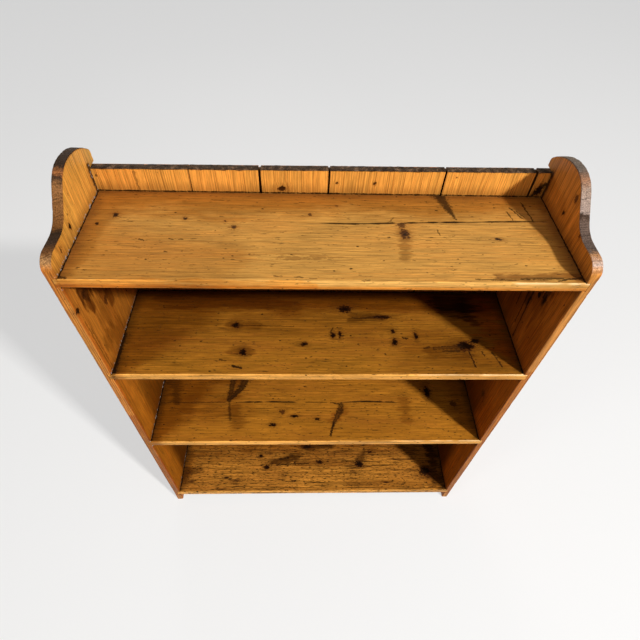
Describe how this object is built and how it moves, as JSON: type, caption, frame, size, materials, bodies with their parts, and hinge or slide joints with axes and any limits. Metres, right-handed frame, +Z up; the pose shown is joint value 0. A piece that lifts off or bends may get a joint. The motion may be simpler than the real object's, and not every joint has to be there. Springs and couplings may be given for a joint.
{
  "type": "bookcase",
  "caption": "Open-front pine bookcase: shelves housed between scroll-topped side boards, with a back of upright planks nailed into rebates.",
  "frame": {"origin": "on the floor, at the middle of the base's width and depth", "axes": "+X to the right across the open front as the picture shows it, +Y from the open front to the plank back, +Z up"},
  "size_m": [0.94, 0.275, 1.195],
  "materials": {
    "side_boards": "antique pine, waxed, worn",
    "shelf_boards": "antique pine, waxed, worn",
    "back_planks": "antique pine, waxed, worn",
    "cut_nails": "dark, rusted"
  },
  "bodies": {
    "root": {"left_side": "side_boards", "right_side": "side_boards", "top_shelf": "shelf_boards", "upper_shelf": "shelf_boards", "lower_shelf": "shelf_boards", "bottom_shelf": "shelf_boards", "back_plank_1": "back_planks", "back_plank_2": "back_planks", "back_plank_3": "back_planks", "back_plank_4": "back_planks", "back_plank_5": "back_planks", "back_plank_6": "back_planks", "top_shelf_nails": "cut_nails", "upper_shelf_nails": "cut_nails", "lower_shelf_nails": "cut_nails", "bottom_shelf_nails": "cut_nails", "back_nails_1": "cut_nails", "back_nails_2": "cut_nails", "back_nails_3": "cut_nails", "back_nails_4": "cut_nails", "back_nails_5": "cut_nails", "back_nails_6": "cut_nails"}
  },
  "joints": []
}
